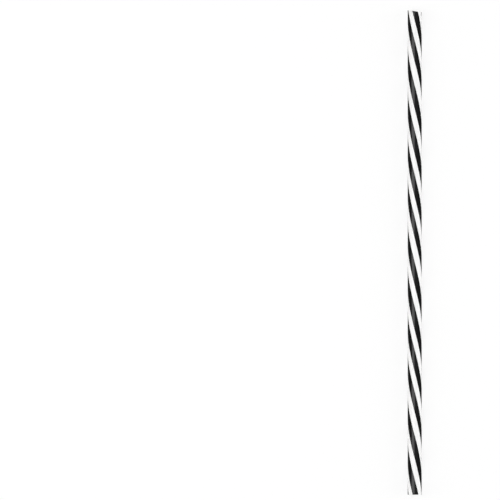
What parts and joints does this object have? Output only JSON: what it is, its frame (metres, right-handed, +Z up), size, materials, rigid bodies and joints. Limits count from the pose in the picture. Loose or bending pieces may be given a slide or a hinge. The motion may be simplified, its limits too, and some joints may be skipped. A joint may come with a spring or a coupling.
{
  "type": "reusable plastic straw",
  "caption": "Straight hard-plastic drinking straw: a long open tube with black and white spiral stripes in its wall, one end cut slightly slanted.",
  "frame": {"origin": "centre of the lying straw's box, at the height of the surface that it lies on", "axes": "+Y along the tube towards its slanted end, +Z up from the surface, +X across the tube"},
  "size_m": [0.0066, 0.229, 0.0067],
  "materials": {
    "striped_plastic": "glossy extruded plastic, white with black helical stripes through the wall"
  },
  "bodies": {
    "root": {"straw": "striped_plastic"}
  },
  "joints": []
}
